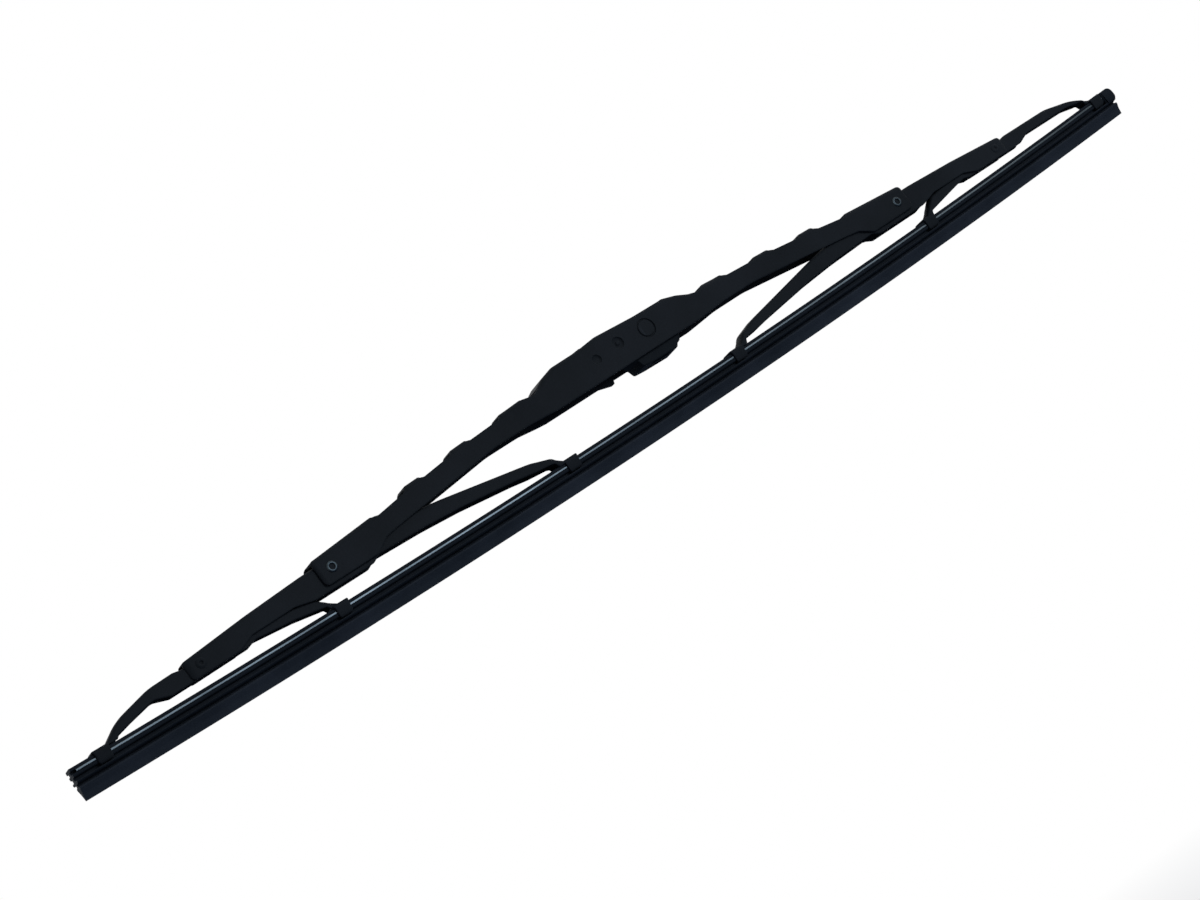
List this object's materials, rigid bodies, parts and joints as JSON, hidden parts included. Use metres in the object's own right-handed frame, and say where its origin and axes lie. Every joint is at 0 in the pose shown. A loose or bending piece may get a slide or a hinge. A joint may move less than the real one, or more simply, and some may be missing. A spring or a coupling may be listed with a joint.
{
  "type": "wiper blade",
  "caption": "Framed windscreen wiper blade: an arched steel bridge and nested levers carry a claw-held rubber strip that wipes curved glass.",
  "frame": {"origin": "middle of the cross pin's axis, in the hump of the bridge", "axes": "+X along the blade to the end stop, +Y across it away from the viewer of the picture, +Z away from the glass"},
  "size_m": [0.5521, 0.015, 0.0459],
  "materials": {
    "coated_steel": "satin black powder coat",
    "bare_steel": "dull spring steel",
    "moulded_plastic": "matte black",
    "rubber": "smooth black natural rubber, glossier on the heel"
  },
  "bodies": {
    "bridge": {"main_bridge": "coated_steel", "cross_pin": "coated_steel", "main_rivet_left": "bare_steel", "main_rivet_right": "bare_steel"},
    "adapter": {"adapter": "moulded_plastic"},
    "secondary_left": {"secondary_lever_left": "coated_steel", "main_liner_left": "moulded_plastic", "tertiary_rivet_left": "coated_steel"},
    "secondary_right": {"secondary_lever_right": "coated_steel", "main_liner_right": "moulded_plastic", "tertiary_rivet_right": "coated_steel"},
    "tertiary_left": {"tertiary_lever_left": "coated_steel", "tertiary_liner_left": "moulded_plastic"},
    "tertiary_right": {"tertiary_lever_right": "coated_steel", "tertiary_liner_right": "moulded_plastic"},
    "strip": {"wiper_rubber": "rubber", "rail_front": "bare_steel", "rail_back": "bare_steel"}
  },
  "joints": [
    {"name": "secondary_left_pivot", "type": "hinge", "parent": "bridge", "child": "secondary_left", "pos_m": [-0.1498, 0, -0.01235], "axis": [0, 1, 0], "range_deg": [-4, 2], "stiffness_Nm_per_rad": 3, "deforming": ["wiper_rubber", "rail_front", "rail_back"]},
    {"name": "secondary_right_pivot", "type": "hinge", "parent": "bridge", "child": "secondary_right", "pos_m": [0.1498, 0, -0.01235], "axis": [0, 1, 0], "range_deg": [-2, 4]},
    {"name": "tertiary_left_pivot", "type": "hinge", "parent": "secondary_left", "child": "tertiary_left", "pos_m": [-0.20976, 0, -0.0156], "axis": [0, 1, 0], "range_deg": [-2.2, 1.1]},
    {"name": "tertiary_right_pivot", "type": "hinge", "parent": "secondary_right", "child": "tertiary_right", "pos_m": [0.20976, 0, -0.0156], "axis": [0, 1, 0], "range_deg": [-1.2, 2.4]},
    {"name": "strip_lift", "type": "slide", "parent": "bridge", "child": "strip", "axis": [0, 0, 1], "range_m": [-0.004, 0.0076]},
    {"name": "adapter_pivot", "type": "hinge", "parent": "bridge", "child": "adapter", "pos_m": [0, 0, 0], "axis": [0, 1, 0], "range_deg": [-35, 8]}
  ],
  "couplings": [
    {"joint": "secondary_right_pivot", "follows": "secondary_left_pivot", "ratio": -1},
    {"joint": "tertiary_left_pivot", "follows": "secondary_left_pivot", "ratio": 0.52},
    {"joint": "tertiary_right_pivot", "follows": "secondary_left_pivot", "ratio": -0.58},
    {"joint": "strip_lift", "follows": "secondary_left_pivot", "m_per_rad": -0.105}
  ]
}
